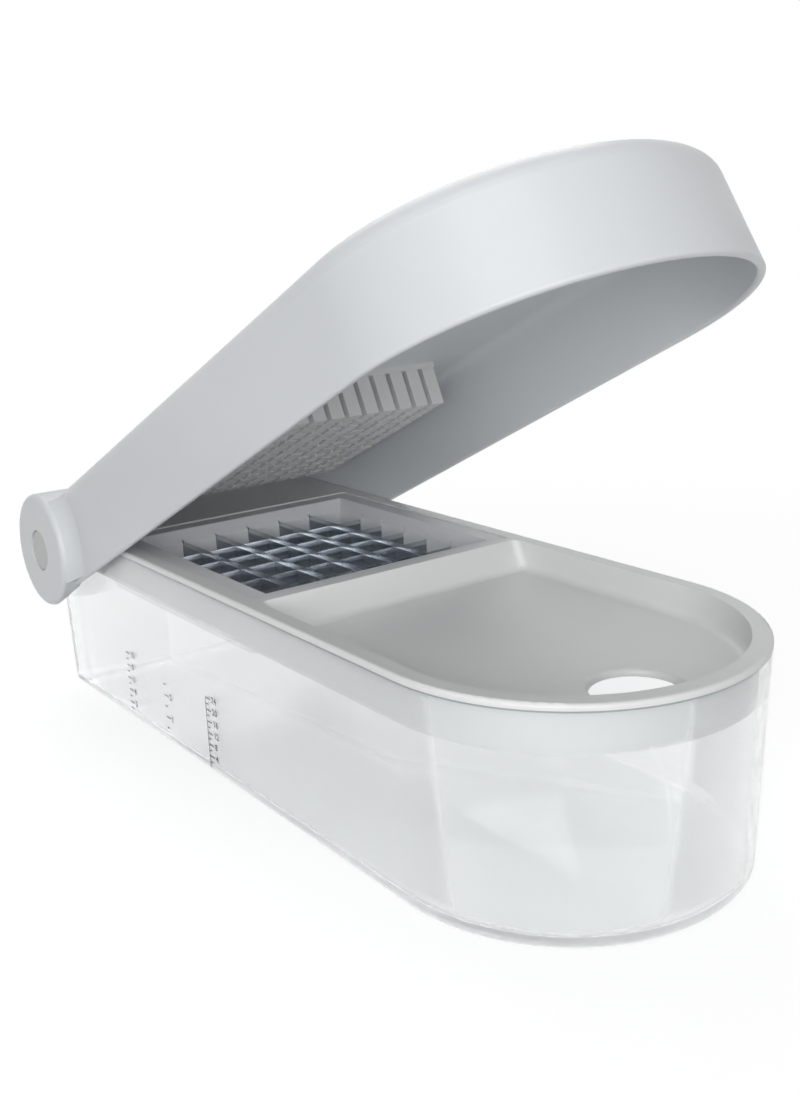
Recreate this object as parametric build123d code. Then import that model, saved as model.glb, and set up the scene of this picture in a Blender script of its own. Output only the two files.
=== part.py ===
from build123d import *
import math
import os

# Vegetable dicer: a clear catch container, a white frame with a drop-in blade insert and a
# pouring tray, and a hinged press lid with a block of square tines that push the food through
# the blades.  Millimetres, +Z up.  +X points to the round end, the hinge is at the -X end.
# The origin is the middle of the container's underside.

# ---- driving sizes ---------------------------------------------------------------------------

# container
BODY_LENGTH = 253.5          # flat hinge end to the crown of the round end
CONTAINER_HEIGHT = 59.4
CONTAINER_WALL = 2.4
CONTAINER_FLOOR = 2.4
CONTAINER_TAPER = 1.8        # how much further in the walls stand at the floor than at the rim
REAR_CORNER_RADIUS = 5.0     # upright corners of the flat end
FLOOR_EDGE_RADIUS = 3.0

# frame
RIM_THICKNESS = 1.6
RIM_EDGE_RADIUS = 1.0
RIM_BORDER = 5.15            # from the body's side in to the blade insert's seat
SKIRT_DEPTH = 11.1           # from the container's rim down to the skirt's lower edge
SKIRT_WALL = 2.0
SKIRT_CLEARANCE = 0.3
DECK_THICKNESS = 2.2
TRAY_DEPTH = 9.0
TRAY_FLOOR = 2.0
TRAY_CORNER_RADIUS = 2.5
DIVIDER_WIDTH = 3.2          # wall between the blade insert and the tray, at its top
DIVIDER_SLOPE = 4.0          # how far its foot stands forward of its top
POUR_RADIUS = 11.5
POUR_LIP_RADIUS = 1.6
POUR_SETBACK = 25.5          # from the crown of the round end to the hole's centre

# blade insert
PITCH = 12.7                 # dice size, middle of one blade to the middle of the next
CELLS = 6                    # cells along each side of the grid
INSERT_MIDDLE = 87.0         # from the flat end to the middle of the grid
GRID_MARGIN = 0.2            # outer cells are this much wider than the pitch
LEAD_IN = 2.7                # how far the opening's sides lean back above the blades
LEAD_IN_DEPTH = 4.0
INSERT_WALL = 4.9            # wall round the grid, at blade height
FLANGE_THICKNESS = 2.6
FLANGE_LEDGE = 3.35          # how far the flange stands out past that wall at each side
FLANGE_REAR_LEDGE = 3.8
FLANGE_FRONT_LEDGE = 0.8
FLANGE_RECESS = 0.4          # the flange's face lies this far below the rim's
SEAT_CLEARANCE = 0.3
BLADE_THICKNESS = 0.6
LENGTHWISE_HEIGHT = 9.7
CROSSWISE_HEIGHT = 8.2
BLADE_TOP_DROP = 3.8         # from the rim's face down to the lengthwise blades' edges
BEVEL_HEIGHT = 1.6
EDGE_LAND = 0.12             # width left along a ground edge
BLADE_TAB = 2.2              # how far a blade's ends reach into the insert's wall
BLADE_CLEARANCE = 0.05
SLOT_MOUTH_WIDTH = 1.1       # each blade's slot opens out above it where it leaves the wall
SLOT_MOUTH_REACH = 1.3
SLOT_MOUTH_RISE = 2.0
LAP_HEIGHT = 4.0             # solid part of a crosswise blade under each crossing
RETAINER_THICKNESS = 2.2
PEG_RADIUS = 1.2
PEG_HEIGHT = 3.0
PEG_CLEARANCE = 0.1

# hinge
HINGE_SETBACK = 7.5          # from the flat end to the hinge's axis
HINGE_DROP = 7.0             # the axis below the container's rim
PIN_RADIUS = 2.5
PIN_LENGTH = 12.6
PIN_FIT = 0.05
PIN_RUNNING_FIT = 0.1
HUB_RADIUS = 6.0
HUB_CLEARANCE = 0.3
BOSS_RADIUS = 19.6           # also the outside of the roll behind the hinge
BOSS_STEP = 4.7              # how far the boss stands out from the lid's side
BOSS_EDGE_RADIUS = 1.8
FLARE_REACH = 8.0            # width of the hollow curve from the lid's side up to the boss
FLARE_SINK = 0.05            # how far the curve's outer end runs in under the lid's side
CAP_RADIUS = 7.0
CAP_THICKNESS = 1.3
CAP_CLEARANCE = 0.15
CAP_DIMPLE = 0.4

# press lid
LID_CLEARANCE = 1.2          # between the body's side and the lid's inside, at the lower edge
LID_OVERHANG = 10.5          # beyond the round end, at the lower edge
LID_RAKE = 3.0               # how much further back the front stands at the roof
LID_SKIRT = 16.4             # lower edge below the hinge's axis, lid closed
LID_WALL = 2.2
LID_TAPER = 0.6
LID_EDGE_RADIUS = 6.0
LID_FOOT_RADIUS = 0.9        # rounding on both sides of the lower edge
ROOF_RISE = 16.2             # roof above the axis, lid closed
ROOF_FALL = 0.7              # degrees that the roof falls towards the round end
ROLL_GAP = 0.4               # the roll's lower edge above the rim, lid closed
REST_OPENING = 26.4          # degrees open at rest

# pusher
TINES_PER_CELL = 2
TINE_GAP = 1.75
TINE_LENGTH = 11.8
PUSHER_PLATE = 1.8
PUSHER_BORDER = 0.4

# ---- derived places --------------------------------------------------------------------------

REAR_X = -BODY_LENGTH / 2
CROWN_X = BODY_LENGTH / 2
GRID_X = REAR_X + INSERT_MIDDLE
GRID_HALF = CELLS * PITCH / 2 + GRID_MARGIN
MOUTH_HALF = GRID_HALF + LEAD_IN
WELL_HALF = GRID_HALF + INSERT_WALL
FLANGE_SIDE = WELL_HALF + FLANGE_LEDGE
HALF_WIDTH = FLANGE_SIDE + SEAT_CLEARANCE + RIM_BORDER
ARC_X = CROWN_X - HALF_WIDTH
RIM_Z = CONTAINER_HEIGHT + RIM_THICKNESS
SKIRT_Z = CONTAINER_HEIGHT - SKIRT_DEPTH
TAPER_AT_SKIRT = CONTAINER_TAPER * SKIRT_DEPTH / CONTAINER_HEIGHT
SKIRT_INSET = CONTAINER_WALL + TAPER_AT_SKIRT + SKIRT_CLEARANCE
SKIRT_INNER_INSET = SKIRT_INSET + SKIRT_WALL

FLANGE_TOP_Z = RIM_Z - FLANGE_RECESS
LEDGE_Z = FLANGE_TOP_Z - FLANGE_THICKNESS
BLADE_TOP_Z = RIM_Z - BLADE_TOP_DROP
BLADE_FOOT_Z = BLADE_TOP_Z - LENGTHWISE_HEIGHT
FLANGE_REAR_X = GRID_X - WELL_HALF - FLANGE_REAR_LEDGE
FLANGE_FRONT_X = GRID_X + WELL_HALF + FLANGE_FRONT_LEDGE
DIVIDER_FRONT_X = FLANGE_FRONT_X + SEAT_CLEARANCE + DIVIDER_WIDTH
TRAY_Z = RIM_Z - TRAY_DEPTH
POUR_X = CROWN_X - POUR_SETBACK

HINGE_X = REAR_X + HINGE_SETBACK
HINGE_HEIGHT = CONTAINER_HEIGHT - HINGE_DROP
LID_HALF_WIDTH = HALF_WIDTH + LID_CLEARANCE + LID_WALL
LID_BOTTOM_Z = HINGE_HEIGHT - LID_SKIRT
LID_FRONT_X = CROWN_X + LID_OVERHANG
LID_ARC_X = LID_FRONT_X - LID_HALF_WIDTH
ROOF_SLOPE = math.tan(math.radians(ROOF_FALL))
ROOF_TOP_Z = HINGE_HEIGHT + ROOF_RISE
LID_TALL = ROOF_TOP_Z - LID_BOTTOM_Z
LID_SIDE_AT_HINGE = LID_HALF_WIDTH - LID_TAPER * LID_SKIRT / LID_TALL
LID_INNER_AT_HINGE = LID_SIDE_AT_HINGE - LID_WALL
HUB_FACE = LID_INNER_AT_HINGE - HUB_CLEARANCE
BOSS_FACE = LID_HALF_WIDTH + BOSS_STEP
BOSS_SHOULDER = BOSS_FACE - BOSS_EDGE_RADIUS
CAP_SEAT = BOSS_FACE - CAP_DIMPLE - CAP_THICKNESS

FAR = 400.0                  # reach of tools that cut right through
EPS = 1.0                    # overshoot of a cut past an open face


# ---- shared shapes ---------------------------------------------------------------------------

def d_outline(half_width, rear_x, arc_x, z, corner=0.0):
    """D-shaped face at height z: straight sides, half-round front, optional rear corner radius."""
    straight = Pos((rear_x + arc_x) / 2, 0) * Rectangle(arc_x - rear_x, 2 * half_width)
    plan = straight + Pos(arc_x, 0) * Circle(half_width)
    if corner > 0:
        plan = fillet(plan.vertices().sort_by(Axis.X)[:2], corner)
    return Pos(0, 0, z) * plan


def body_plan(inset, z, rear_inset=None):
    """The container's outline drawn in by an inset, at height z."""
    rear = inset if rear_inset is None else rear_inset
    corner = max(REAR_CORNER_RADIUS - inset, 0.5)
    return d_outline(HALF_WIDTH - inset, REAR_X + rear, ARC_X, z, corner)


def body_prism(inset, z_low, z_high):
    """Upright prism of the container's outline."""
    return extrude(body_plan(inset, z_low), z_high - z_low)


def block(x_low, x_high, half_y, z_low, z_high):
    """Box between two X and two Z planes, symmetric about Y = 0."""
    size = Box(x_high - x_low, 2 * half_y, z_high - z_low)
    return Pos((x_low + x_high) / 2, 0, (z_low + z_high) / 2) * size


def cross_cylinder(radius, y_low, y_high, x=HINGE_X, z=HINGE_HEIGHT):
    """Cylinder along Y between two Y planes."""
    rod = Cylinder(radius, abs(y_high - y_low), rotation=(90, 0, 0))
    return Pos(x, (y_low + y_high) / 2, z) * rod


def slab(points, half_y):
    """Side outline (X, Z points) drawn out symmetrically along Y."""
    outline = Plane.XZ * make_face(Polyline(*points, close=True))
    return extrude(outline, half_y, both=True)


def largest(shape):
    """The biggest solid of a result, without slivers."""
    return max(shape.solids(), key=lambda s: s.volume)


# ---- container -------------------------------------------------------------------------------

def make_container():
    outer = loft([body_plan(CONTAINER_TAPER, 0), body_plan(0, CONTAINER_HEIGHT)], ruled=True)
    foot_edges = outer.faces().sort_by(Axis.Z)[0].edges()
    outer = fillet(foot_edges, FLOOR_EDGE_RADIUS)
    floor_inset = CONTAINER_WALL + CONTAINER_TAPER * (1 - CONTAINER_FLOOR / CONTAINER_HEIGHT)
    rim_inset = CONTAINER_WALL
    inner = loft(
        [body_plan(floor_inset, CONTAINER_FLOOR), body_plan(rim_inset, CONTAINER_HEIGHT)],
        ruled=True,
    )
    inner_edges = inner.faces().sort_by(Axis.Z)[0].edges()
    inner = fillet(inner_edges, max(FLOOR_EDGE_RADIUS - CONTAINER_WALL / 2, 0.5))
    shell = outer - inner
    notch_radius = HUB_RADIUS + HUB_CLEARANCE
    notch = cross_cylinder(notch_radius, -FAR, FAR)
    notch += block(
        HINGE_X - notch_radius, HINGE_X + notch_radius, FAR, HINGE_HEIGHT, RIM_Z + EPS
    )
    return largest(shell - notch)


# ---- frame -----------------------------------------------------------------------------------

def tray_pocket():
    """The hollow of the tray: upright sides, a sloping rear wall and rounded floor corners."""
    prism = body_prism(SKIRT_INNER_INSET, TRAY_Z, RIM_Z + EPS)
    slope = DIVIDER_SLOPE / TRAY_DEPTH
    side = slab(
        [
            (DIVIDER_FRONT_X + DIVIDER_SLOPE, TRAY_Z),
            (CROWN_X, TRAY_Z),
            (CROWN_X, RIM_Z + EPS),
            (DIVIDER_FRONT_X - slope * EPS, RIM_Z + EPS),
        ],
        FAR,
    )
    pocket = prism & side
    corners = pocket.edges().filter_by(
        lambda e: abs(e.center().Y) > HALF_WIDTH / 2 and e.bounding_box().size.Z > TRAY_DEPTH
    )
    pocket = fillet(corners, TRAY_CORNER_RADIUS)
    floor = pocket.faces().sort_by(Axis.Z)[0]
    return fillet(floor.edges(), TRAY_CORNER_RADIUS)


def make_base_frame():
    rim = body_prism(0, CONTAINER_HEIGHT, RIM_Z)
    rim = fillet(rim.faces().sort_by(Axis.Z)[-1].edges(), RIM_EDGE_RADIUS)
    core = body_prism(SKIRT_INSET, SKIRT_Z, CONTAINER_HEIGHT)
    frame = rim + core
    inner_inset = SKIRT_INNER_INSET
    front_wall_x = FLANGE_FRONT_X + SEAT_CLEARANCE
    frame -= tray_pocket()
    # hollow under the tray, under the seat of the insert and under the rear deck
    frame -= body_prism(inner_inset, SKIRT_Z - EPS, TRAY_Z - TRAY_FLOOR)
    seat_under_z = LEDGE_Z - DECK_THICKNESS
    hollow = body_prism(inner_inset, SKIRT_Z - EPS, seat_under_z)
    frame -= hollow & block(REAR_X, front_wall_x, FAR, SKIRT_Z - EPS, seat_under_z)
    rear_hollow = body_prism(inner_inset, SKIRT_Z - EPS, RIM_Z - DECK_THICKNESS)
    rear_front_x = FLANGE_REAR_X - SEAT_CLEARANCE - SKIRT_WALL
    frame -= rear_hollow & block(REAR_X, rear_front_x, FAR, SKIRT_Z - EPS, RIM_Z)
    # seat and well hole of the blade insert
    seat_rear_x = FLANGE_REAR_X - SEAT_CLEARANCE
    seat_half = FLANGE_SIDE + SEAT_CLEARANCE
    frame -= block(seat_rear_x, front_wall_x, seat_half, LEDGE_Z, RIM_Z + EPS)
    well = WELL_HALF + SEAT_CLEARANCE
    frame -= block(GRID_X - well, GRID_X + well, well, SKIRT_Z - EPS, RIM_Z)
    # pour hole with a rolled lip
    hole = Pos(POUR_X, 0, TRAY_Z) * Cylinder(POUR_RADIUS, 4 * TRAY_FLOOR)
    frame -= hole
    lip_edges = frame.edges().filter_by(GeomType.CIRCLE).filter_by(
        lambda e: abs(e.radius - POUR_RADIUS) < 0.01 and abs(e.center().Z - TRAY_Z) < 0.01
    )
    frame = fillet(lip_edges, POUR_LIP_RADIUS)
    # hinge hubs, which drop into the container's notches
    for side in (-1, 1):
        inner_y = side * (HALF_WIDTH - inner_inset)
        hub = cross_cylinder(HUB_RADIUS, inner_y, side * HUB_FACE)
        web_low = min(inner_y, side * HUB_FACE)
        web_high = max(inner_y, side * HUB_FACE)
        web = Box(2 * HUB_RADIUS, web_high - web_low, CONTAINER_HEIGHT - HINGE_HEIGHT)
        web_middle = (CONTAINER_HEIGHT + HINGE_HEIGHT) / 2
        hub += Pos(HINGE_X, (web_low + web_high) / 2, web_middle) * web
        frame += hub
    bore_end = HUB_FACE + EPS
    frame -= cross_cylinder(PIN_RADIUS + PIN_RUNNING_FIT, -bore_end, bore_end)
    return largest(frame)


# ---- blade insert ----------------------------------------------------------------------------

def blade_offsets():
    """Blade places across the grid, from its middle."""
    count = CELLS - 1
    return [(i - (count - 1) / 2) * PITCH for i in range(count)]


def blade_profile(height):
    """Cross-section of a blade: a strip ground to an edge from both sides, foot at zero."""
    half = BLADE_THICKNESS / 2
    land = EDGE_LAND / 2
    shoulder = height - BEVEL_HEIGHT
    points = [(-half, 0), (half, 0), (half, shoulder), (land, height), (-land, height),
              (-half, shoulder)]
    return make_face(Polyline(*points, close=True))


def make_blade(height, slot_low, slot_high):
    """A blade along X with its foot on Z = 0 and half-lap slots between two heights."""
    length = 2 * (GRID_HALF + BLADE_TAB)
    strip = extrude(Plane.YZ * blade_profile(height), length / 2, both=True)
    slot = Box(BLADE_THICKNESS + 2 * BLADE_CLEARANCE, 4 * BLADE_THICKNESS, slot_high - slot_low)
    for offset in blade_offsets():
        strip -= Pos(offset, 0, (slot_low + slot_high) / 2) * slot
    return largest(strip)


def make_lengthwise_blades():
    blade = make_blade(LENGTHWISE_HEIGHT, -EPS, LAP_HEIGHT + BLADE_CLEARANCE)
    return [Pos(GRID_X, offset, BLADE_FOOT_Z) * blade for offset in blade_offsets()]


def make_crosswise_blades():
    blade = make_blade(CROSSWISE_HEIGHT, LAP_HEIGHT, CROSSWISE_HEIGHT + EPS)
    turned = Rot(0, 0, 90) * blade
    return [Pos(GRID_X + offset, 0, BLADE_FOOT_Z) * turned for offset in blade_offsets()]


def square_taper(half_low, half_high, z_low, z_high):
    """Square funnel about the grid's axis."""
    low = Pos(GRID_X, 0, z_low) * Rectangle(2 * half_low, 2 * half_low)
    high = Pos(GRID_X, 0, z_high) * Rectangle(2 * half_high, 2 * half_high)
    return loft([low, high], ruled=True)


def peg_places():
    """Corners of the insert's wall where the retainer's pegs stand."""
    reach = (GRID_HALF + WELL_HALF) / 2
    return [(GRID_X + sx * reach, sy * reach) for sx in (-1, 1) for sy in (-1, 1)]


def blade_slot(height):
    """Cut along X for one blade, snug over its ends and wider above it at the wall's face."""
    reach = GRID_HALF + BLADE_TAB + BLADE_CLEARANCE
    width = BLADE_THICKNESS + 2 * BLADE_CLEARANCE
    high = height + BLADE_CLEARANCE + EPS
    snug = Pos(0, 0, BLADE_FOOT_Z - EPS + high / 2) * Box(2 * reach, width, high)
    mouth_reach = GRID_HALF + SLOT_MOUTH_REACH
    mouth = Box(2 * mouth_reach, SLOT_MOUTH_WIDTH, SLOT_MOUTH_RISE)
    return snug + Pos(0, 0, BLADE_FOOT_Z + height + SLOT_MOUTH_RISE / 2) * mouth


def make_blade_frame():
    flange = block(FLANGE_REAR_X, FLANGE_FRONT_X, FLANGE_SIDE, LEDGE_Z, FLANGE_TOP_Z)
    flange = fillet(flange.edges().filter_by(Axis.Z), REAR_CORNER_RADIUS / 2)
    well = block(GRID_X - WELL_HALF, GRID_X + WELL_HALF, WELL_HALF, BLADE_FOOT_Z, LEDGE_Z)
    insert = flange + well
    funnel_foot = FLANGE_TOP_Z - LEAD_IN_DEPTH
    insert -= block(GRID_X - GRID_HALF, GRID_X + GRID_HALF, GRID_HALF, BLADE_FOOT_Z - EPS,
                    FLANGE_TOP_Z)
    insert -= square_taper(GRID_HALF, MOUTH_HALF, funnel_foot, FLANGE_TOP_Z)
    for offset in blade_offsets():
        insert -= Pos(GRID_X, offset) * blade_slot(LENGTHWISE_HEIGHT)
        insert -= Pos(GRID_X + offset, 0) * Rot(0, 0, 90) * blade_slot(CROSSWISE_HEIGHT)
    hole = Cylinder(PEG_RADIUS + PEG_CLEARANCE, 2 * (PEG_HEIGHT + PEG_CLEARANCE))
    for x, y in peg_places():
        insert -= Pos(x, y, BLADE_FOOT_Z) * hole
    return largest(insert)


def make_blade_retainer():
    low = BLADE_FOOT_Z - RETAINER_THICKNESS
    ring = block(GRID_X - WELL_HALF, GRID_X + WELL_HALF, WELL_HALF, low, BLADE_FOOT_Z)
    ring -= block(GRID_X - GRID_HALF, GRID_X + GRID_HALF, GRID_HALF, low - EPS, RIM_Z)
    peg = Cylinder(PEG_RADIUS, PEG_HEIGHT + EPS)
    for x, y in peg_places():
        ring += Pos(x, y, BLADE_FOOT_Z + (PEG_HEIGHT - EPS) / 2) * peg
    return largest(ring)


# ---- press lid, drawn closed -----------------------------------------------------------------

def roof_z(x, depth=0.0):
    """Height of the roof's outer face at x, or of a plane that far below it, lid closed."""
    level = HINGE_HEIGHT + (ROOF_RISE - depth) / math.cos(math.radians(ROOF_FALL))
    return level - (x - HINGE_X) * ROOF_SLOPE


def lid_outline(inset, z):
    """The lid's outline drawn in by an inset: narrower and further back with height."""
    share = (z - LID_BOTTOM_Z) / LID_TALL
    half_width = LID_HALF_WIDTH - inset - share * LID_TAPER
    return d_outline(half_width, HINGE_X, LID_ARC_X - share * LID_RAKE, z)


def lid_prism(inset, depth, z_low, edge_radius):
    """D-shaped body under the sloping roof, drawn in by a wall and filleted along its top."""
    prism = loft([lid_outline(inset, z_low), lid_outline(inset, ROOF_TOP_Z + EPS)], ruled=True)
    front_x = LID_FRONT_X + EPS
    rear_x = HINGE_X - EPS
    under = slab(
        [
            (rear_x, z_low - EPS),
            (front_x, z_low - EPS),
            (front_x, roof_z(front_x, depth)),
            (rear_x, roof_z(rear_x, depth)),
        ],
        FAR,
    )
    body = prism & under
    roof = body.faces().sort_by(Axis.Z)[-1]
    edges = roof.edges().filter_by(lambda e: e.center().X > HINGE_X + EPS)
    return fillet(edges, edge_radius)


def make_flare(side):
    """Hollow curve from the lid's side up to the boss, square to the side's lean."""
    foot = LID_SIDE_AT_HINGE - FLARE_SINK
    rise = BOSS_SHOULDER - foot
    radius = (FLARE_REACH ** 2 + rise ** 2) / (2 * rise)
    half_turn = math.asin(FLARE_REACH / radius) / 2
    outer = BOSS_RADIUS + FLARE_REACH
    middle = (
        outer - radius * math.sin(half_turn),
        foot + radius * (1 - math.cos(half_turn)),
    )
    buried = LID_SIDE_AT_HINGE - LID_WALL / 2
    curve = ThreePointArc((outer, foot), middle, (BOSS_RADIUS, BOSS_SHOULDER))
    rest = Polyline(
        (BOSS_RADIUS, BOSS_SHOULDER), (0, BOSS_SHOULDER), (0, buried), (outer, buried),
        (outer, foot),
    )
    bell = revolve(make_face([curve, rest]), Axis.Y)
    if side < 0:
        bell = mirror(bell, Plane.XZ)
    lean = math.degrees(math.atan(LID_TAPER / LID_TALL))
    upright = Pos(0, side * LID_SIDE_AT_HINGE, 0)
    bell = upright * Rot(side * lean, 0, 0) * Pos(0, -side * LID_SIDE_AT_HINGE, 0) * bell
    reach_x = HINGE_X + outer + EPS
    rear_x = HINGE_X - EPS
    low_z = LID_BOTTOM_Z + LID_WALL / 2
    within = slab(
        [
            (rear_x, low_z),
            (reach_x, low_z),
            (reach_x, roof_z(reach_x, LID_EDGE_RADIUS / 2)),
            (rear_x, roof_z(rear_x, LID_EDGE_RADIUS / 2)),
        ],
        FAR,
    )
    return (Pos(HINGE_X, 0, HINGE_HEIGHT) * bell) & within


def make_roll():
    """Cylinder across the hinge end; its ends are the bosses, bevelled inwards underneath."""
    roll = cross_cylinder(BOSS_RADIUS, -BOSS_FACE, BOSS_FACE)
    roll = fillet(roll.edges().filter_by(GeomType.CIRCLE), BOSS_EDGE_RADIUS)
    foot_z = HINGE_HEIGHT - BOSS_RADIUS
    for side in (-1, 1):
        bevel = Plane.YZ * make_face(Polyline(
            (side * BOSS_SHOULDER, foot_z),
            (side * LID_INNER_AT_HINGE, LID_BOTTOM_Z),
            (side * LID_INNER_AT_HINGE, foot_z - EPS),
            (side * BOSS_SHOULDER, foot_z - EPS),
            close=True,
        ))
        roll -= extrude(bevel, FAR, both=True)
    return roll


def make_press_lid():
    cavity = lid_prism(LID_WALL, LID_WALL, LID_BOTTOM_Z - EPS, LID_EDGE_RADIUS - LID_WALL)
    shell = lid_prism(0, 0, LID_BOTTOM_Z, LID_EDGE_RADIUS) - cavity
    foot = shell.faces().sort_by(Axis.Z)[0]
    foot_edges = foot.edges().filter_by(lambda e: e.center().X > HINGE_X + EPS)
    shell = fillet(foot_edges, LID_FOOT_RADIUS)
    shell += make_roll() - cavity
    shell -= cross_cylinder(BOSS_RADIUS - LID_WALL, -LID_INNER_AT_HINGE, LID_INNER_AT_HINGE)
    clear_x = HINGE_X + BOSS_RADIUS
    shell -= block(HINGE_X - FAR, clear_x, LID_INNER_AT_HINGE, 0, RIM_Z + ROLL_GAP)
    for side in (-1, 1):
        shell += make_flare(side)
        seat = side * CAP_SEAT
        outside = side * (BOSS_FACE + EPS)
        shell -= cross_cylinder(CAP_RADIUS + CAP_CLEARANCE, seat, outside)
        shell -= cross_cylinder(PIN_RADIUS + PIN_FIT, side * LID_INNER_AT_HINGE / 2, outside)
    return largest(shell)


def make_hinge_pin(side):
    outer = side * (CAP_SEAT - CAP_CLEARANCE)
    return cross_cylinder(PIN_RADIUS, outer - side * PIN_LENGTH, outer)


def make_hinge_cap(side):
    seat = side * CAP_SEAT
    cap = cross_cylinder(CAP_RADIUS, seat, side * (CAP_SEAT + CAP_THICKNESS))
    face = cap.faces().sort_by(Axis.Y)[0 if side < 0 else -1]
    return fillet(face.edges(), CAP_THICKNESS / 3)


def make_pusher():
    """Plate under the roof with square tines, left standing by two crossing sets of slits."""
    per_side = CELLS * TINES_PER_CELL
    tine_pitch = PITCH / TINES_PER_CELL
    half = (per_side * tine_pitch - TINE_GAP) / 2
    plate_half = half + PUSHER_BORDER
    middle_z = roof_z(GRID_X, LID_WALL)
    plate = Pos(0, 0, -PUSHER_PLATE / 2) * Box(2 * plate_half, 2 * plate_half, PUSHER_PLATE)
    tines = Pos(0, 0, -PUSHER_PLATE - TINE_LENGTH / 2) * Box(2 * half, 2 * half, TINE_LENGTH)
    slit_z = -PUSHER_PLATE - TINE_LENGTH / 2 - EPS / 2
    for i in range(1, per_side):
        place = i * tine_pitch - per_side * tine_pitch / 2
        slit = Box(TINE_GAP, 3 * half, TINE_LENGTH + EPS)
        tines -= Pos(place, 0, slit_z) * slit
        tines -= Pos(0, place, slit_z) * Rot(0, 0, 90) * slit
    pusher = plate + tines
    return Pos(GRID_X, 0, middle_z) * Rot(0, ROOF_FALL, 0) * pusher


def opened(shape):
    """A lid piece turned about the hinge from closed to its opening at rest."""
    return Pos(HINGE_X, 0, HINGE_HEIGHT) * Rot(0, -REST_OPENING, 0) * Pos(
        -HINGE_X, 0, -HINGE_HEIGHT
    ) * shape


# ---- all pieces ------------------------------------------------------------------------------

def make_pieces():
    pieces = {
        "container": make_container(),
        "base_frame": make_base_frame(),
        "blade_frame": make_blade_frame(),
        "blade_retainer": make_blade_retainer(),
        "press_lid": opened(make_press_lid()),
        "pusher": opened(make_pusher()),
    }
    for number, blade in enumerate(make_lengthwise_blades(), start=1):
        pieces[f"lengthwise_blade_{number}"] = blade
    for number, blade in enumerate(make_crosswise_blades(), start=1):
        pieces[f"crosswise_blade_{number}"] = blade
    for name, side in (("right", -1), ("left", 1)):
        pieces[f"hinge_pin_{name}"] = opened(make_hinge_pin(side))
        pieces[f"hinge_cap_{name}"] = opened(make_hinge_cap(side))
    return pieces


os.makedirs("parts", exist_ok=True)
for node, shape in make_pieces().items():
    export_step(shape, f"parts/{node}.step")
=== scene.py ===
"""Finishes, printed scale and studio for the vegetable dicer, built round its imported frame."""

import logging
import math
from dataclasses import dataclass, field
from enum import Enum
from typing import Any

import bmesh
import bpy
from mathutils import Matrix, Vector


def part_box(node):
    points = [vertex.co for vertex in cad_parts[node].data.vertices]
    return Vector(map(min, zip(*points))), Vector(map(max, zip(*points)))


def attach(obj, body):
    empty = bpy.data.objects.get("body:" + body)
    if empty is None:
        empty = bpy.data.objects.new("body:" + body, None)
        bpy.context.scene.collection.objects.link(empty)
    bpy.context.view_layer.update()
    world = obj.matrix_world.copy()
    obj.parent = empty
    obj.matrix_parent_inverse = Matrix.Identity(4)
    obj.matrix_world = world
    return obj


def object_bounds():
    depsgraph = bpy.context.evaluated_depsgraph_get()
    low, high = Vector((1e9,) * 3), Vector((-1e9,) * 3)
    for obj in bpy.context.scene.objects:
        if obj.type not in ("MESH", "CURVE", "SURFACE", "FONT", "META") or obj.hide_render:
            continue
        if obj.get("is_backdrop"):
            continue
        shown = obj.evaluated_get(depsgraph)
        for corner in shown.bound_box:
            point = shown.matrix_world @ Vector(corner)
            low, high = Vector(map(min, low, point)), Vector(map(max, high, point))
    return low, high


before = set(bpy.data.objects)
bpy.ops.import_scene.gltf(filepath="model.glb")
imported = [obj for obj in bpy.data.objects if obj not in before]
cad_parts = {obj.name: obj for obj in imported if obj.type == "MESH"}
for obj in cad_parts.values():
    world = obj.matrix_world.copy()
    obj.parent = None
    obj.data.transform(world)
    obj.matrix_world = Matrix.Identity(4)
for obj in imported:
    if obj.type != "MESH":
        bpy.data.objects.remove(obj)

log = logging.getLogger("dicer")

Colour = tuple[float, float, float, float]
Triple = tuple[float, float, float]
MILLIMETRE = 0.001
# A height above the whole object, for steel that has no ground edge.
NO_SHOULDER = 1.0


# ---- node trees ------------------------------------------------------------------------------


class Value:
    """A number socket that takes part in Python expressions. Each operator adds a Math node."""

    def __init__(self, tree: "Tree", socket: bpy.types.NodeSocket) -> None:
        """Wraps a socket.

        Args:
            tree: the tree that the socket's node is in.
            socket: an output socket that carries a number.
        """
        self.tree = tree
        self.socket = socket

    def math(self, operation: str, *operands: "Value | float") -> "Value":
        """Adds a Math node.

        Args:
            operation: the node's operation.
            operands: its inputs, in order.

        Returns:
            The node's result.
        """
        settings = {"operation": operation}
        return self.tree.value("ShaderNodeMath", settings, dict(enumerate(operands)))

    def __add__(self, other: "Value | float") -> "Value":
        """Sum."""
        return self.math("ADD", self, other)

    def __radd__(self, other: float) -> "Value":
        """Sum with a number on the left."""
        return self.math("ADD", other, self)

    def __sub__(self, other: "Value | float") -> "Value":
        """Difference."""
        return self.math("SUBTRACT", self, other)

    def __rsub__(self, other: float) -> "Value":
        """Difference with a number on the left."""
        return self.math("SUBTRACT", other, self)

    def __mul__(self, other: "Value | float") -> "Value":
        """Product."""
        return self.math("MULTIPLY", self, other)

    def __rmul__(self, other: float) -> "Value":
        """Product with a number on the left."""
        return self.math("MULTIPLY", other, self)

    def ramp(self, low: float, high: float) -> "Value":
        """Rises smoothly from 0 at low to 1 at high.

        Args:
            low: the value that gives 0.
            high: the value that gives 1.

        Returns:
            The eased value.
        """
        settings = {"interpolation_type": "SMOOTHSTEP"}
        inputs = {"Value": self, "From Min": low, "From Max": high}
        return self.tree.value("ShaderNodeMapRange", settings, inputs)

    def root(self) -> "Value":
        """Square root."""
        return self.math("SQRT", self)

    def larger(self, other: "Value | float") -> "Value":
        """The larger of the two."""
        return self.math("MAXIMUM", self, other)


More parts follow.
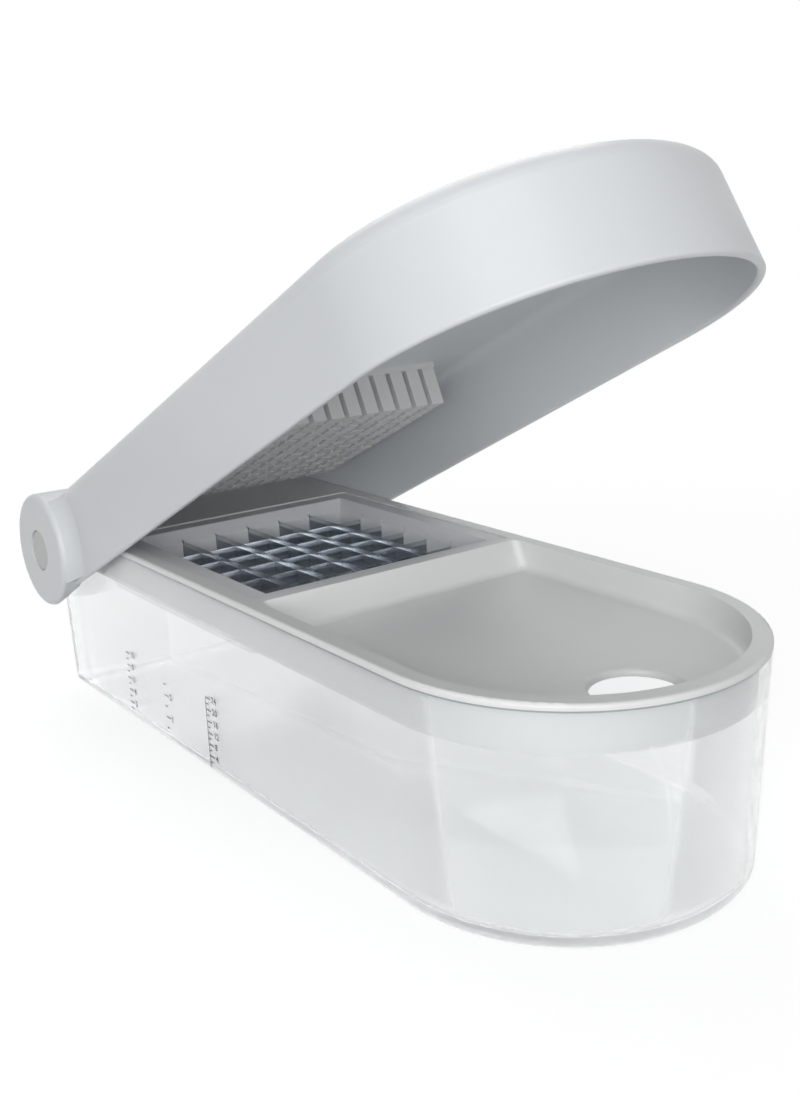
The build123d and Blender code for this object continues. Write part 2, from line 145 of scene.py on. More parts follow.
class Tree:
    """Builds a shader or geometry tree from Python values."""

    def __init__(self, tree: bpy.types.NodeTree) -> None:
        """Starts on an empty tree.

        Args:
            tree: the tree to fill.
        """
        self.tree = tree
        tree.nodes.clear()

    def add(
        self,
        kind: str,
        settings: dict[str, Any] | None = None,
        inputs: dict[str | int, Any] | None = None,
    ) -> bpy.types.Node:
        """Adds one node of any type.

        Args:
            kind: the node's type.
            settings: the node's own settings, set first.
            inputs: a value or a link for each named or numbered socket.

        Returns:
            The new node.
        """
        node = self.tree.nodes.new(kind)
        for name, setting in (settings or {}).items():
            setattr(node, name, setting)
        for key, given in (inputs or {}).items():
            source = given.socket if isinstance(given, Value) else given
            if isinstance(source, bpy.types.NodeSocket):
                self.tree.links.new(source, node.inputs[key])
            else:
                node.inputs[key].default_value = source
        return node

    def value(
        self,
        kind: str,
        settings: dict[str, Any] | None = None,
        inputs: dict[str | int, Any] | None = None,
        output: str | int = 0,
    ) -> Value:
        """Adds one node and wraps one of its outputs as a number.

        Args:
            kind: the node's type.
            settings: the node's own settings.
            inputs: a value or a link for each socket.
            output: the output that is wrapped.

        Returns:
            The wrapped output.
        """
        return Value(self, self.add(kind, settings, inputs).outputs[output])

    def mixed(self, share: Value | float, first: Any, second: Any) -> bpy.types.NodeSocket:
        """Mixes two colours.

        Args:
            share: how much of the second colour shows.
            first: a colour or a colour socket.
            second: a colour or a colour socket.

        Returns:
            The mixed colour's socket.
        """
        settings = {"data_type": "RGBA"}
        return self.add("ShaderNodeMix", settings, {0: share, 6: first, 7: second}).outputs[2]

    def place(self) -> bpy.types.NodeSocket:
        """The point in the row frame, in metres."""
        return self.add("ShaderNodeTexCoord").outputs["Object"]

    def stretched(self, scale: Triple) -> bpy.types.NodeSocket:
        """The point with each axis scaled, for a grain that runs one way.

        Args:
            scale: the factor on each axis.

        Returns:
            The scaled point's socket.
        """
        settings = {"operation": "MULTIPLY"}
        node = self.add("ShaderNodeVectorMath", settings, {0: self.place(), 1: scale})
        return node.outputs[0]

    def axis(self, letter: str) -> Value:
        """One coordinate of the point, in metres.

        Args:
            letter: X, Y or Z.

        Returns:
            The coordinate.
        """
        return self.value("ShaderNodeSeparateXYZ", None, {0: self.place()}, letter)

    def noise(
        self, size: float, detail: float, point: bpy.types.NodeSocket | None = None
    ) -> Value:
        """Noise between 0 and 1.

        Args:
            size: the width of its patches, in metres.
            detail: how many finer layers it has.
            point: where it is read, the plain place unless given.

        Returns:
            The noise.
        """
        inputs = {"Vector": point or self.place(), "Scale": 1.0 / size, "Detail": detail}
        return self.value("ShaderNodeTexNoise", None, inputs)

    def bump(self, height: Value, depth: float) -> bpy.types.NodeSocket:
        """A normal that stands for a height.

        Args:
            height: the height, as a share of the depth.
            depth: how far full height stands out, in metres.

        Returns:
            The normal's socket.
        """
        inputs = {"Height": height, "Distance": depth, "Strength": 1.0}
        return self.add("ShaderNodeBump", None, inputs).outputs[0]


def new_material(name: str) -> tuple[bpy.types.Material, Tree]:
    """Makes an empty node material.

    Args:
        name: the material's name.

    Returns:
        The material and its tree.
    """
    material = bpy.data.materials.new(name)
    material.use_nodes = True
    return material, Tree(material.node_tree)


# ---- finishes --------------------------------------------------------------------------------


@dataclass(frozen=True)
class Patches:
    """Soft-edged patches of noise on a surface.

    Attributes:
        size: the width of a patch, in metres.
        detail: how many finer layers the noise has.
        low: the noise at which a patch begins.
        high: the noise at which it is full.
        stretch: the factor on each axis, for patches that run one way.
    """

    size: float
    detail: float
    low: float
    high: float
    stretch: Triple | None = None

    def mask(self, tree: Tree) -> Value:
        """Reads the patches in a tree.

        Args:
            tree: the tree that uses them.

        Returns:
            0 between the patches and 1 inside them.
        """
        point = tree.stretched(self.stretch) if self.stretch else None
        return tree.noise(self.size, self.detail, point).ramp(self.low, self.high)


@dataclass(frozen=True)
class MouldedPlastic:
    """Opaque injection-moulded plastic with a fine skin, soft flow marks and handling smears.

    Attributes:
        name: the material's name.
        colour: the colour of most of the surface.
        drift: the colour of the flow marks and the specks.
        roughness: the roughness of a clean patch.
        flow: the flow marks.
        flow_share: how much of the drift colour a flow mark shows.
        specks: the specks.
        speck_share: how much of the drift colour a speck shows.
        smears: the smears.
        smear_roughness: how much rougher a smear is.
        skin: the width of the skin's grain, in metres.
        skin_roughness: how much the grain changes the roughness.
        skin_depth: how deep the grain is, in metres.
        wave: the width of the surface's slow waves, in metres.
        index: the refractive index.
        glow: how much of the light scatters under the skin.
        glow_reach: how far red, green and blue light scatter, in metres.
        glow_scale: the factor on that reach.
    """

    name: str
    colour: Colour
    drift: Colour
    roughness: float
    flow: Patches = Patches(size=0.045, detail=3.0, low=0.35, high=0.75, stretch=(0.35, 1.0, 1.0))
    flow_share: float = 0.8
    specks: Patches = Patches(size=0.0016, detail=1.0, low=0.70, high=0.78)
    speck_share: float = 0.12
    smears: Patches = Patches(size=0.018, detail=4.0, low=0.45, high=0.8, stretch=(1.0, 0.6, 1.4))
    smear_roughness: float = 0.10
    skin: float = 0.0007
    skin_roughness: float = 0.04
    skin_depth: float = 0.000012
    wave: float = 0.030
    index: float = 1.49
    glow: float = 0.04
    glow_reach: Triple = (0.004, 0.0036, 0.003)
    glow_scale: float = 0.5

    def material(self) -> bpy.types.Material:
        """Builds the material.

        Returns:
            The material.
        """
        material, tree = new_material(self.name)
        colour = tree.mixed(self.flow.mask(tree) * self.flow_share, self.colour, self.drift)
        colour = tree.mixed(self.specks.mask(tree) * self.speck_share, colour, self.drift)
        grain = tree.noise(self.skin, detail=2.0)
        waves = tree.noise(self.wave, detail=1.0)
        smeared = self.roughness + self.smears.mask(tree) * self.smear_roughness
        inputs = {
            "Base Color": colour,
            "Roughness": smeared + (grain - 0.5) * self.skin_roughness,
            "Normal": tree.bump(grain * 0.5 + waves * 0.5, self.skin_depth),
            "IOR": self.index,
            "Subsurface Weight": self.glow,
            "Subsurface Radius": self.glow_reach,
            "Subsurface Scale": self.glow_scale,
        }
        shader = tree.add("ShaderNodeBsdfPrincipled", None, inputs)
        tree.add("ShaderNodeOutputMaterial", None, {"Surface": shader.outputs[0]})
        return material


@dataclass(frozen=True)
class ClearPlastic:
    """Clear, polished plastic with faint wash marks. It lets the lamps through.

    Attributes:
        name: the material's name.
        tint: the colour that one pass through a wall leaves.
        edge: the painted shade colour of the upper edge, standing in for the shadow under the
            frame's rim.
        brim: the height of the upper edge, in metres.
        roughness: the roughness of a clean patch.
        straight: the share of light that a wall below its edge doesn't bend.
        brim_shade_depth: how far down from the brim the painted shade reaches, in metres.
        brim_shade_blend: the share of that depth in which the painted shade comes in.
        wash: the wash marks.
        wash_roughness: how much rougher a wash mark is.
        wave: the width of the wall's slow waves, in metres.
        wave_depth: how deep those waves are, in metres.
        index: the refractive index.
    """

    name: str
    tint: Colour
    edge: Colour
    brim: float
    roughness: float
    straight: float = 0.35
    brim_shade_depth: float = 0.5 * MILLIMETRE
    brim_shade_blend: float = 0.25
    wash: Patches = Patches(size=0.022, detail=4.0, low=0.55, high=0.85, stretch=(0.5, 0.5, 1.6))
    wash_roughness: float = 0.035
    wave: float = 0.040
    wave_depth: float = 0.00004
    index: float = 1.35

    def material(self) -> bpy.types.Material:
        """Builds the material.

        Returns:
            The material.
        """
        material, tree = new_material(self.name)
        # Painted shade: the wall's top turns to the darker edge colour, standing in for the
        # shadow under the frame's rim, and no light passes straight through there.
        low = self.brim - self.brim_shade_depth
        in_brim_shade = tree.axis("Z").ramp(low, low + self.brim_shade_depth * self.brim_shade_blend)
        inputs = {
            "Base Color": tree.mixed(in_brim_shade, self.tint, self.edge),
            "Roughness": self.roughness + self.wash.mask(tree) * self.wash_roughness,
            "Normal": tree.bump(tree.noise(self.wave, detail=1.0), self.wave_depth),
            "IOR": self.index,
            "Transmission Weight": 1.0,
        }
        glass = tree.add("ShaderNodeBsdfPrincipled", None, inputs)
        through = tree.add("ShaderNodeBsdfTransparent", None, {"Color": self.tint})
        rays = tree.add("ShaderNodeLightPath")
        lamp = Value(tree, rays.outputs["Is Shadow Ray"])
        bounce = Value(tree, rays.outputs["Is Diffuse Ray"])
        share = lamp.larger(bounce).larger((1.0 - in_brim_shade) * self.straight)
        inputs = {0: share, 1: glass.outputs[0], 2: through.outputs[0]}
        mix = tree.add("ShaderNodeMixShader", None, inputs)
        tree.add("ShaderNodeOutputMaterial", None, {"Surface": mix.outputs[0]})
        return material


class Grain(Enum):
    """Which way the lines of a ground surface run."""

    LENGTHWISE = (0.04, 1.0, 1.0)
    CROSSWISE = (1.0, 0.04, 1.0)


@dataclass(frozen=True)
class GroundSteel:
    """Stainless strip with grinding lines along it and a brighter ground edge.

    Attributes:
        name: the material's name.
        colour: the colour of the strip's flanks.
        edge: the colour of the ground edge.
        grain: which way the grinding lines run.
        shoulder: the height where the ground edge starts, in metres.
        shoulder_blend: the height in which the edge's colour comes in, in metres.
        ground_share: how much of the edge's colour the ground edge shows.
        ground_polish: how much less rough the ground edge is.
        line: the width of a grinding line, in metres.
        line_low: the noise at which a line starts to shine.
        line_high: the noise at which it shines fully.
        line_share: how much of the edge's colour a shining line shows.
        line_depth: how deep a line is, in metres.
        line_roughness: how much rougher a line is.
        stains: the stains.
        stain_roughness: how much rougher a stain is.
        roughness: the roughness of a clean flank.
    """

    name: str
    colour: Colour
    edge: Colour
    grain: Grain
    shoulder: float
    shoulder_blend: float = 0.0003
    ground_share: float = 0.8
    ground_polish: float = 0.08
    line: float = 0.0005
    line_low: float = 0.3
    line_high: float = 0.7
    line_share: float = 0.35
    line_depth: float = 0.000006
    line_roughness: float = 0.14
    stains: Patches = Patches(size=0.009, detail=3.0, low=0.45, high=0.8)
    stain_roughness: float = 0.10
    roughness: float = 0.24

    def material(self) -> bpy.types.Material:
        """Builds the material.

        Returns:
            The material.
        """
        material, tree = new_material(self.name)
        lines = tree.noise(self.line, detail=3.0, point=tree.stretched(self.grain.value))
        ground = tree.axis("Z").ramp(self.shoulder, self.shoulder + self.shoulder_blend)
        shine = lines.ramp(self.line_low, self.line_high) * self.line_share
        colour = tree.mixed(shine, self.colour, self.edge)
        colour = tree.mixed(ground * self.ground_share, colour, self.edge)
        worn = self.roughness + lines * self.line_roughness
        worn = worn + self.stains.mask(tree) * self.stain_roughness
        inputs = {
            "Base Color": colour,
            "Metallic": 1.0,
            "Roughness": worn - ground * self.ground_polish,
            "Normal": tree.bump(lines, self.line_depth),
        }
        shader = tree.add("ShaderNodeBsdfPrincipled", None, inputs)
        tree.add("ShaderNodeOutputMaterial", None, {"Surface": shader.outputs[0]})
        return material


@dataclass(frozen=True)
class ScaleInk:
    """Dark printing ink, a little worn.

    Attributes:
        name: the material's name.
        colour: the colour of full ink.
        worn: the colour of thin ink.
        wear: the patches of thin ink.
        roughness: the roughness of full ink.
        wear_roughness: how much rougher thin ink is.
        tooth: the width of the ink's grain, in metres.
        tooth_depth: how deep that grain is, in metres.
    """

    name: str
    colour: Colour
    worn: Colour
    wear: Patches = Patches(size=0.0012, detail=3.0, low=0.55, high=0.8)
    roughness: float = 0.45
    wear_roughness: float = 0.2
    tooth: float = 0.0003
    tooth_depth: float = 0.000004

    def material(self) -> bpy.types.Material:
        """Builds the material.

        Returns:
            The material.
        """
        material, tree = new_material(self.name)
        wear = self.wear.mask(tree)
        inputs = {
            "Base Color": tree.mixed(wear, self.colour, self.worn),
            "Roughness": self.roughness + wear * self.wear_roughness,
            "Normal": tree.bump(tree.noise(self.tooth, detail=1.0), self.tooth_depth),
        }
        shader = tree.add("ShaderNodeBsdfPrincipled", None, inputs)
        tree.add("ShaderNodeOutputMaterial", None, {"Surface": shader.outputs[0]})
        return material


def finish_node(node: str, material: bpy.types.Material) -> None:
    """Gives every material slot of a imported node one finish.

    Args:
        node: the node's name.
        material: the finish.
    """
    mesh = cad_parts[node].data
    if not mesh.materials:
        mesh.materials.append(material)
    for index in range(len(mesh.materials)):
        mesh.materials[index] = material
    log.info("finished %s with %s", node, material.name)


# ---- container -------------------------------------------------------------------------------


@dataclass(frozen=True)
class ScaleColumn:
    """One printed measuring column on the right wall.

    Attributes:
        along: where its marks start along the container, in metres.
        step: the height between two marks, in metres.
        marks: how many marks it has.
        every: a long mark with a number stands at every so many marks.
        unit: what one numbered mark adds to the number.
        lined: whether an upright line joins its marks.
    """

    along: float
    step: float
    marks: int
    every: int
    unit: int
    lined: bool = False


@dataclass
class CatchContainer:
    """The clear container and the measuring scale printed on its right wall.

    Attributes:
        columns: the printed columns.
        floor: the height that the scales count from, in metres.
        line: the width of a printed line, in metres.
        short: the length of a mark with no number, in metres.
        long: the length of a mark with a number, in metres.
        ink_depth: how far the ink stands out of the wall, in metres.
        digit: the height of a number, in metres.
        digit_place: how far beside the start of the marks a number starts, in metres.
        digit_weight: what is added round a number's outline, in metres.
        digit_steps: how many straight runs make up each curve of a number.
        flank_reach: how far along, both ways, the right wall's points are looked for, in metres.
        flank_side: the Y that the right wall's points lie beyond, in metres.
        foot_band: the height below which the right wall's foot is looked for, in metres.
        ink: the ink's material, once it is made.
    """

    columns: tuple[ScaleColumn, ...] = (
        ScaleColumn(along=-0.0765, step=2.2 * MILLIMETRE, marks=10, every=2, unit=2),
        ScaleColumn(along=-0.0500, step=3.75 * MILLIMETRE, marks=5, every=2, unit=1),
        ScaleColumn(along=-0.0220, step=1.9 * MILLIMETRE, marks=12, every=2, unit=4, lined=True),
    )
    floor: float = 2.4 * MILLIMETRE
    line: float = 0.5 * MILLIMETRE
    short: float = 1.6 * MILLIMETRE
    long: float = 3.0 * MILLIMETRE
    ink_depth: float = 0.05 * MILLIMETRE
    digit: float = 2.9 * MILLIMETRE
    digit_place: float = 3.6 * MILLIMETRE
    digit_weight: float = 0.1 * MILLIMETRE
    digit_steps: int = 3
    flank_reach: float = 0.12
    flank_side: float = -0.04
    foot_band: float = 0.008
    ink: bpy.types.Material | None = field(default=None, init=False)

    def build(self) -> None:
        """Finishes the container and prints its scale."""
        clear = ClearPlastic(
            name="clear_container_plastic",
            tint=(0.977, 0.985, 0.987, 1),
            # The darker edge colour is painted shade under the frame's rim.
            edge=(0.42, 0.44, 0.47, 1),
            brim=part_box("container")[1].z,
            roughness=0.015,
        )
        finish_node("container", clear.material())
        dark = ScaleInk("scale_ink", colour=(0.02, 0.02, 0.022, 1), worn=(0.09, 0.09, 0.09, 1))
        self.ink = dark.material()
        tree = self._mark_tree()
        meshes = []
        for column in self.columns:
            meshes.append(self._printed_marks(tree, column))
            meshes.extend(self._printed_numbers(column))
            if column.lined:
                meshes.append(self._upright_line(column))
        printed = self._joined("measuring_scale", meshes, self._wall_place())
        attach(printed, "container")
        log.info("printed %s", printed.name)

    def _wall_place(self) -> Matrix:
        """The place of a printed sheet on the right wall, whose own X runs along the wall.

        Returns:
            The matrix from the sheet to the row frame.
        """
        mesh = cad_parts["container"].data
        points = [v.co for v in mesh.vertices]
        flank = [c for c in points if abs(c.x) < self.flank_reach and c.y < self.flank_side]
        # Heights within 0.1 mm count as one, so that the top's outer side is found.
        top = max(flank, key=lambda c: (round(c.z, 4), -c.y))
        foot = min((c for c in flank if c.z < self.foot_band), key=lambda c: c.y)
        lean = math.atan2(foot.y - top.y, top.z - foot.z)
        at_base = foot.y + foot.z * math.tan(lean)
        log.info("wall leans %.2f degrees", math.degrees(lean))
        turn = Matrix.Rotation(math.pi / 2 - lean, 4, "X")
        return Matrix.Translation((0.0, at_base, 0.0)) @ turn

    def _joined(
        self, name: str, meshes: list[bpy.types.Mesh], place: Matrix
    ) -> bpy.types.Object:
        """Joins printed meshes into one piece at its place.

        Args:
            name: the piece's name.
            meshes: the meshes, all in the sheet's own frame.
            place: the matrix from the sheet to the row frame.

        Returns:
            The joined piece, its object at the origin.
        """
        whole = bmesh.new()
        for mesh in meshes:
            whole.from_mesh(mesh)
        joined = bpy.data.meshes.new(name)
        whole.transform(place)
        bmesh.ops.recalc_face_normals(whole, faces=whole.faces)
        whole.to_mesh(joined)
        whole.free()
        joined.materials.append(self.ink)
        for face in joined.polygons:
            face.material_index = 0
        piece = bpy.data.objects.new(name, joined)
        bpy.context.scene.collection.objects.link(piece)
        return piece

    def _mark_tree(self) -> bpy.types.NodeTree:
        """Builds the tree that lays out a column's marks, every so many of them long.

        Returns:
            The tree, with named inputs for its sizes.
        """
        group = bpy.data.node_groups.new("scale_marks", "GeometryNodeTree")
        tree = Tree(group)
        sizes = (
            ("Count", "NodeSocketInt"),
            ("Every", "NodeSocketInt"),
            ("Step", "NodeSocketFloat"),
            ("Short", "NodeSocketFloat"),
            ("Long", "NodeSocketFloat"),
            ("Line", "NodeSocketFloat"),
            ("Depth", "NodeSocketFloat"),
            ("Ink", "NodeSocketMaterial"),
        )
        for name, kind in sizes:
            group.interface.new_socket(name=name, in_out="INPUT", socket_type=kind)
        group.interface.new_socket(
            name="Geometry", in_out="OUTPUT", socket_type="NodeSocketGeometry"
        )
        given = tree.add("NodeGroupInput").outputs
        rise = tree.add("ShaderNodeCombineXYZ", None, {1: given["Step"]}).outputs[0]
        column = tree.add(
            "GeometryNodeMeshLine",
            {"mode": "OFFSET"},
            {"Count": given["Count"], "Start Location": rise, "Offset": rise},
        )
        order = Value(tree, tree.add("GeometryNodeInputIndex").outputs[0]) + 1.0
        past = order.math("MODULO", order, Value(tree, given["Every"]))
        # A mark is long where nothing is left over.
        is_long = past.math("LESS_THAN", past, 0.5)
        short = Value(tree, given["Short"])
        length = short + is_long * (Value(tree, given["Long"]) - short)
        size = tree.add(
            "ShaderNodeCombineXYZ", None, {0: length, 1: given["Line"], 2: given["Depth"]}
        )
        # The unit cube is moved to start at the column's line and to stand on the wall.
        cube = tree.add("GeometryNodeMeshCube", None, {"Size": (1.0, 1.0, 1.0)})
        edge = tree.add(
            "GeometryNodeTransform", None, {0: cube.outputs[0], "Translation": (0.5, 0.0, 0.5)}
        )
        marks = tree.add(
            "GeometryNodeInstanceOnPoints",
            None,
            {"Points": column.outputs[0], "Instance": edge.outputs[0], "Scale": size.outputs[0]},
        )
        real = tree.add("GeometryNodeRealizeInstances", None, {0: marks.outputs[0]})
        inked = tree.add(
            "GeometryNodeSetMaterial", None, {0: real.outputs[0], "Material": given["Ink"]}
        )
        tree.add("NodeGroupOutput", None, {0: inked.outputs[0]})
        return group

    def _printed_marks(self, group: bpy.types.NodeTree, column: ScaleColumn) -> bpy.types.Mesh:
        """Lays out one column's marks as a plain mesh.

        Args:
            group: the tree that lays out marks.
            column: the column.

        Returns:
            The marks, in the sheet's own frame.
        """
        sizes = {
            "Count": column.marks,
            "Every": column.every,
            "Step": column.step,
            "Short": self.short,
            "Long": self.long,
            "Line": self.line,
            "Depth": self.ink_depth,
            "Ink": self.ink,
        }
        holder = bpy.data.objects.new("marks", bpy.data.meshes.new("marks"))
        bpy.context.scene.collection.objects.link(holder)
        modifier = holder.modifiers.new("marks", "NODES")
        modifier.node_group = group
        for item in group.interface.items_tree:
            if item.in_out == "INPUT":
                modifier[item.identifier] = sizes[item.name]
        graph = bpy.context.evaluated_depsgraph_get()
        mesh = bpy.data.meshes.new_from_object(holder.evaluated_get(graph))
        holder.modifiers.remove(modifier)
        bpy.data.objects.remove(holder)
        mesh.transform(Matrix.Translation((column.along, self.floor, 0.0)))
        return mesh

    def _upright_line(self, column: ScaleColumn) -> bpy.types.Mesh:
        """The upright line that a column's marks start from.

        Args:
            column: the column.

        Returns:
            The line, in the sheet's own frame.
        """
        bar = bmesh.new()
        bmesh.ops.create_cube(bar, size=1.0)
        height = column.step * column.marks
        size = Vector((self.line, height, self.ink_depth))
        middle = Vector((column.along, self.floor + height / 2, self.ink_depth / 2))
        bar.transform(Matrix.Translation(middle) @ Matrix.Diagonal((*size, 1.0)))
        mesh = bpy.data.meshes.new("upright")
        bar.to_mesh(mesh)
        bar.free()
        return mesh

    def _printed_numbers(self, column: ScaleColumn) -> list[bpy.types.Mesh]:
        """The numbers beside a column's long marks.

        Args:
            column: the column.

        Returns:
            One mesh for each number, in the sheet's own frame.
        """
        meshes = []
        for order in range(1, column.marks // column.every + 1):
            curve = bpy.data.curves.new("number", "FONT")
            curve.body = str(order * column.unit)
            curve.size = self.digit
            curve.align_y = "CENTER"
            curve.extrude = self.ink_depth / 2
            curve.offset = self.digit_weight
            curve.resolution_u = self.digit_steps
            holder = bpy.data.objects.new("number", curve)
            bpy.context.scene.collection.objects.link(holder)
            graph = bpy.context.evaluated_depsgraph_get()
            mesh = bpy.data.meshes.new_from_object(holder.evaluated_get(graph))
            bpy.data.objects.remove(holder)
            height = self.floor + order * column.every * column.step
            beside = column.along + self.digit_place
            mesh.transform(Matrix.Translation((beside, height, self.ink_depth / 2)))
            meshes.append(mesh)
        return meshes


# ---- frame and lid ---------------------------------------------------------------------------


@dataclass
class DicerFrame:
    """The white frame, its blade insert and the two sets of blades.

    Attributes:
        white: the frame's finish, its white painted a little lighter than the lid's as painted
            light on the frame and its divider.
        inset: the finish of the insert and of the retainer under it.
        flank: the colour of a blade's flanks, painted dark and bluish as a painted reflection of
            the dark surroundings.
        edge: the colour of a blade's ground edge.
        blades: how many blades each set has.
        bevel: the height of a blade's ground edge, in metres.
    """

    # Painted light: this white is a little lighter than the lid's, for the brighter light on the
    # frame and its divider.
    white: MouldedPlastic = MouldedPlastic(
        name="frame_white_plastic",
        colour=(0.84, 0.85, 0.845, 1),
        drift=(0.80, 0.81, 0.80, 1),
        roughness=0.34,
    )
    inset: MouldedPlastic = MouldedPlastic(
        name="insert_white_plastic",
        colour=(0.79, 0.805, 0.82, 1),
        drift=(0.75, 0.765, 0.775, 1),
        roughness=0.42,
    )
    # Painted reflection: the flanks' dark bluish colour stands in for the dark surroundings that
    # the steel reflects.
    flank: Colour = (0.26, 0.28, 0.31, 1)
    edge: Colour = (0.60, 0.63, 0.67, 1)
    blades: int = 5
    bevel: float = 1.6 * MILLIMETRE

    def build(self) -> None:
        """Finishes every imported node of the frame."""
        finish_node("base_frame", self.white.material())
        inset = self.inset.material()
        for node in ("blade_frame", "blade_retainer"):
            finish_node(node, inset)
        for grain in Grain:
            run = grain.name.lower()
            steel = GroundSteel(
                name=f"{run}_blade_steel",
                colour=self.flank,
                edge=self.edge,
                grain=grain,
                shoulder=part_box(f"{run}_blade_1")[1].z - self.bevel,
            ).material()
            for number in range(1, self.blades + 1):
                finish_node(f"{run}_blade_{number}", steel)


@dataclass
class PressLid:
    """The press lid, its pusher and its hinge pieces.

    Attributes:
        white: the lid's finish, its white painted a little darker than the frame's as painted
            shade that tones down the lid's highlights.
        pusher: the pusher's finish.
        cap: the finish of the hinge caps, the lid's white painted darker grey as painted shade in
            the hinge boss's dimple.
        pin: the finish of the hinge pins.
    """

    # Painted shade: this white is a little darker than the frame's, to tone down the lid's
    # highlights.
    white: MouldedPlastic = MouldedPlastic(
        name="lid_white_plastic",
        colour=(0.75, 0.775, 0.795, 1),
        drift=(0.715, 0.74, 0.76, 1),
        roughness=0.31,
    )
    pusher: MouldedPlastic = MouldedPlastic(
        name="pusher_white_plastic",
        colour=(0.76, 0.775, 0.77, 1),
        drift=(0.72, 0.73, 0.72, 1),
        roughness=0.40,
    )
    # Painted shade: the caps' darker grey stands in for the shadow in the hinge boss's dimple.
    cap: MouldedPlastic = MouldedPlastic(
        name="cap_shaded_white_plastic",
        colour=(0.62, 0.635, 0.625, 1),
        drift=(0.58, 0.595, 0.58, 1),
        roughness=0.45,
    )
    pin: GroundSteel = GroundSteel(
        name="hinge_pin_steel",
        colour=(0.5, 0.5, 0.52, 1),
        edge=(0.7, 0.7, 0.71, 1),
        grain=Grain.CROSSWISE,
        shoulder=NO_SHOULDER,
    )

    def build(self) -> None:
        """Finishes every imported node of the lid."""
        finish_node("press_lid", self.white.material())
        finish_node("pusher", self.pusher.material())
        cap, pin = self.cap.material(), self.pin.material()
        for side in ("left", "right"):
            finish_node(f"hinge_cap_{side}", cap)
            finish_node(f"hinge_pin_{side}", pin)


# ---- studio ----------------------------------------------------------------------------------


@dataclass(frozen=True)
class Lamp:
    """One soft lamp, aimed at the object.

    Attributes:
        name: the lamp's name.
        azimuth: its direction round the object, in degrees, 0 on the right side.
        elevation: its direction above the floor, in degrees.
        distance: how far off it stands, in metres.
        size: the side of its square face, in metres.
        power: its power, in watts.
    """

    name: str
    azimuth: float
    elevation: float
    distance: float
    size: float
    power: float


def direction(azimuth: float, elevation: float) -> Vector:
    """The unit vector out from the object at an azimuth and elevation.

    Args:
        azimuth: degrees round from -Y towards +X.
        elevation: degrees above the floor.

    Returns:
        The direction.
    """
    around, above = math.radians(azimuth), math.radians(elevation)
    flat = math.cos(above)
    return Vector((math.sin(around) * flat, -math.cos(around) * flat, math.sin(above)))


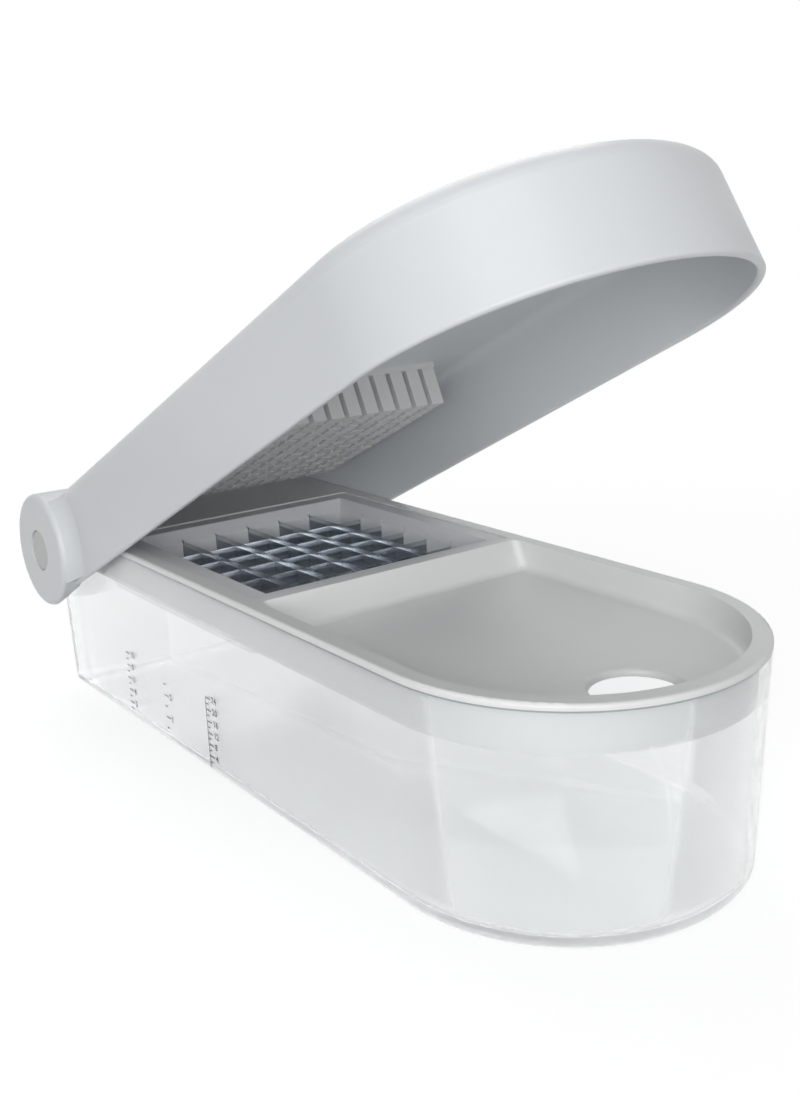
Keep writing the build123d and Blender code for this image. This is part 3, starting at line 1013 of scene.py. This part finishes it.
@dataclass
class Studio:
    """Floor, soft lamps, white surround and the camera.

    Attributes:
        lamps: the lamps.
        aim_height: the height of the point that the lamps are aimed at, in metres.
        ambient: how bright the surround is on the object.
        floor_colour: the floor's colour near the object.
        floor_glow: what is added to the floor's own brightness where it is seen.
        floor_reach: how far the floor goes each way, in metres.
        floor_gap: how far it lies under the object, in metres.
        fade_start: how far out the floor starts to fade to white, in metres.
        fade_end: how far out it is all white, in metres.
        eye: where the camera stands, in metres.
        azimuth: the direction from the object to the camera, in degrees.
        elevation: how far above the floor that direction points, in degrees.
        roll: how far the camera is turned about its line of sight, in degrees.
        lens: the camera's focal length, in millimetres.
        sensor: the width of its sensor, in millimetres.
        nearest: the least distance that it sees, in metres.
    """

    lamps: tuple[Lamp, ...] = (
        Lamp("key", azimuth=40, elevation=16, distance=0.95, size=0.5, power=2.9),
        Lamp("front", azimuth=64, elevation=13, distance=1.1, size=0.5, power=2.5),
        Lamp("top", azimuth=35, elevation=46, distance=1.3, size=0.8, power=3.2),
        Lamp("rear", azimuth=245, elevation=48, distance=1.3, size=1.0, power=4.6),
    )
    aim_height: float = 0.06
    ambient: float = 0.15
    floor_colour: Colour = (0.62, 0.62, 0.62, 1)
    floor_glow: float = 0.67
    floor_reach: float = 4.0
    floor_gap: float = 0.0002
    fade_start: float = 0.18
    fade_end: float = 0.5
    eye: tuple[float, float, float] = (0.28266, -0.20447, 0.16214)
    azimuth: float = 53.179
    elevation: float = 15.495
    roll: float = -1.909
    lens: float = 39.94
    sensor: float = 36.0
    nearest: float = 0.01

    def build(self) -> None:
        """Sets up the whole studio."""
        self._camera()
        self._surround()
        self._floor()
        for lamp in self.lamps:
            self._lamp(lamp)

    def _camera(self) -> None:
        """Puts the camera in its place and makes it the scene's."""
        data = bpy.data.cameras.new("camera")
        data.sensor_width = self.sensor
        data.lens = self.lens
        data.clip_start = self.nearest
        camera = bpy.data.objects.new("camera", data)
        bpy.context.scene.collection.objects.link(camera)
        back = direction(self.azimuth, self.elevation)
        aim = (-back).to_track_quat("-Z", "Y")
        roll = Matrix.Rotation(math.radians(self.roll), 3, back).to_quaternion()
        camera.rotation_mode = "QUATERNION"
        camera.rotation_quaternion = roll @ aim
        camera.location = self.eye
        bpy.context.scene.camera = camera

    @staticmethod
    def _seen(tree: Tree) -> Value:
        """1 where the eye meets a surface, straight on, through glass or in gloss, and else 0.

        Args:
            tree: the tree that asks.

        Returns:
            The mask.
        """
        rays = tree.add("ShaderNodeLightPath").outputs
        straight, glass, gloss = (
            Value(tree, rays[f"Is {kind} Ray"]) for kind in ("Camera", "Transmission", "Glossy")
        )
        return straight.larger(glass).larger(gloss)

    def _surround(self) -> None:
        """A white surround that gives the object only plain soft light."""
        world = bpy.data.worlds.new("surround")
        world.use_nodes = True
        bpy.context.scene.world = world
        tree = Tree(world.node_tree)
        strength = self.ambient + self._seen(tree) * (1.0 - self.ambient)
        inputs = {"Color": (1.0, 1.0, 1.0, 1.0), "Strength": strength}
        light = tree.add("ShaderNodeBackground", None, inputs)
        tree.add("ShaderNodeOutputWorld", None, {"Surface": light.outputs[0]})

    def _floor(self) -> None:
        """A pale floor that keeps the object's shadow and fades to white."""
        sheet = bmesh.new()
        bmesh.ops.create_grid(sheet, x_segments=1, y_segments=1, size=self.floor_reach)
        mesh = bpy.data.meshes.new("floor")
        sheet.to_mesh(mesh)
        sheet.free()
        floor = bpy.data.objects.new("floor", mesh)
        bpy.context.scene.collection.objects.link(floor)
        mesh.transform(Matrix.Translation((0.0, 0.0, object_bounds()[0].z - self.floor_gap)))
        material, tree = new_material("pale_floor")
        matte = tree.add("ShaderNodeBsdfDiffuse", None, {"Color": self.floor_colour})
        white = tree.add("ShaderNodeEmission", None, {"Strength": 1.0})
        seen = self._seen(tree)
        glow = tree.add("ShaderNodeEmission", None, {"Strength": seen * self.floor_glow})
        near = tree.add("ShaderNodeAddShader", None, {0: matte.outputs[0], 1: glow.outputs[0]})
        across, along = tree.axis("X"), tree.axis("Y")
        away = (across * across + along * along).root()
        faded = seen * away.ramp(self.fade_start, self.fade_end)
        inputs = {0: faded, 1: near.outputs[0], 2: white.outputs[0]}
        mix = tree.add("ShaderNodeMixShader", None, inputs)
        tree.add("ShaderNodeOutputMaterial", None, {"Surface": mix.outputs[0]})
        mesh.materials.append(material)
        floor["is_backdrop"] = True

    def _lamp(self, lamp: Lamp) -> None:
        """Hangs one lamp and aims it at the object.

        Args:
            lamp: the lamp.
        """
        data = bpy.data.lights.new(lamp.name, "AREA")
        data.shape = "SQUARE"
        data.size = lamp.size
        data.energy = lamp.power
        out = direction(lamp.azimuth, lamp.elevation)
        light = bpy.data.objects.new(lamp.name, data)
        light.location = out * lamp.distance + Vector((0.0, 0.0, self.aim_height))
        light.rotation_mode = "QUATERNION"
        light.rotation_quaternion = (-out).to_track_quat("-Z", "Y")
        bpy.context.scene.collection.objects.link(light)


def main() -> None:
    """Builds the object's looks, then the studio."""
    logging.basicConfig(level=logging.INFO, format="%(message)s")
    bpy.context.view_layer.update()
    for assembly in (CatchContainer(), DicerFrame(), PressLid()):
        assembly.build()
        log.info("built %s", type(assembly).__name__)
    Studio().build()
    bpy.context.scene.view_settings.view_transform = "Standard"


if __name__ == "__main__":
    main()
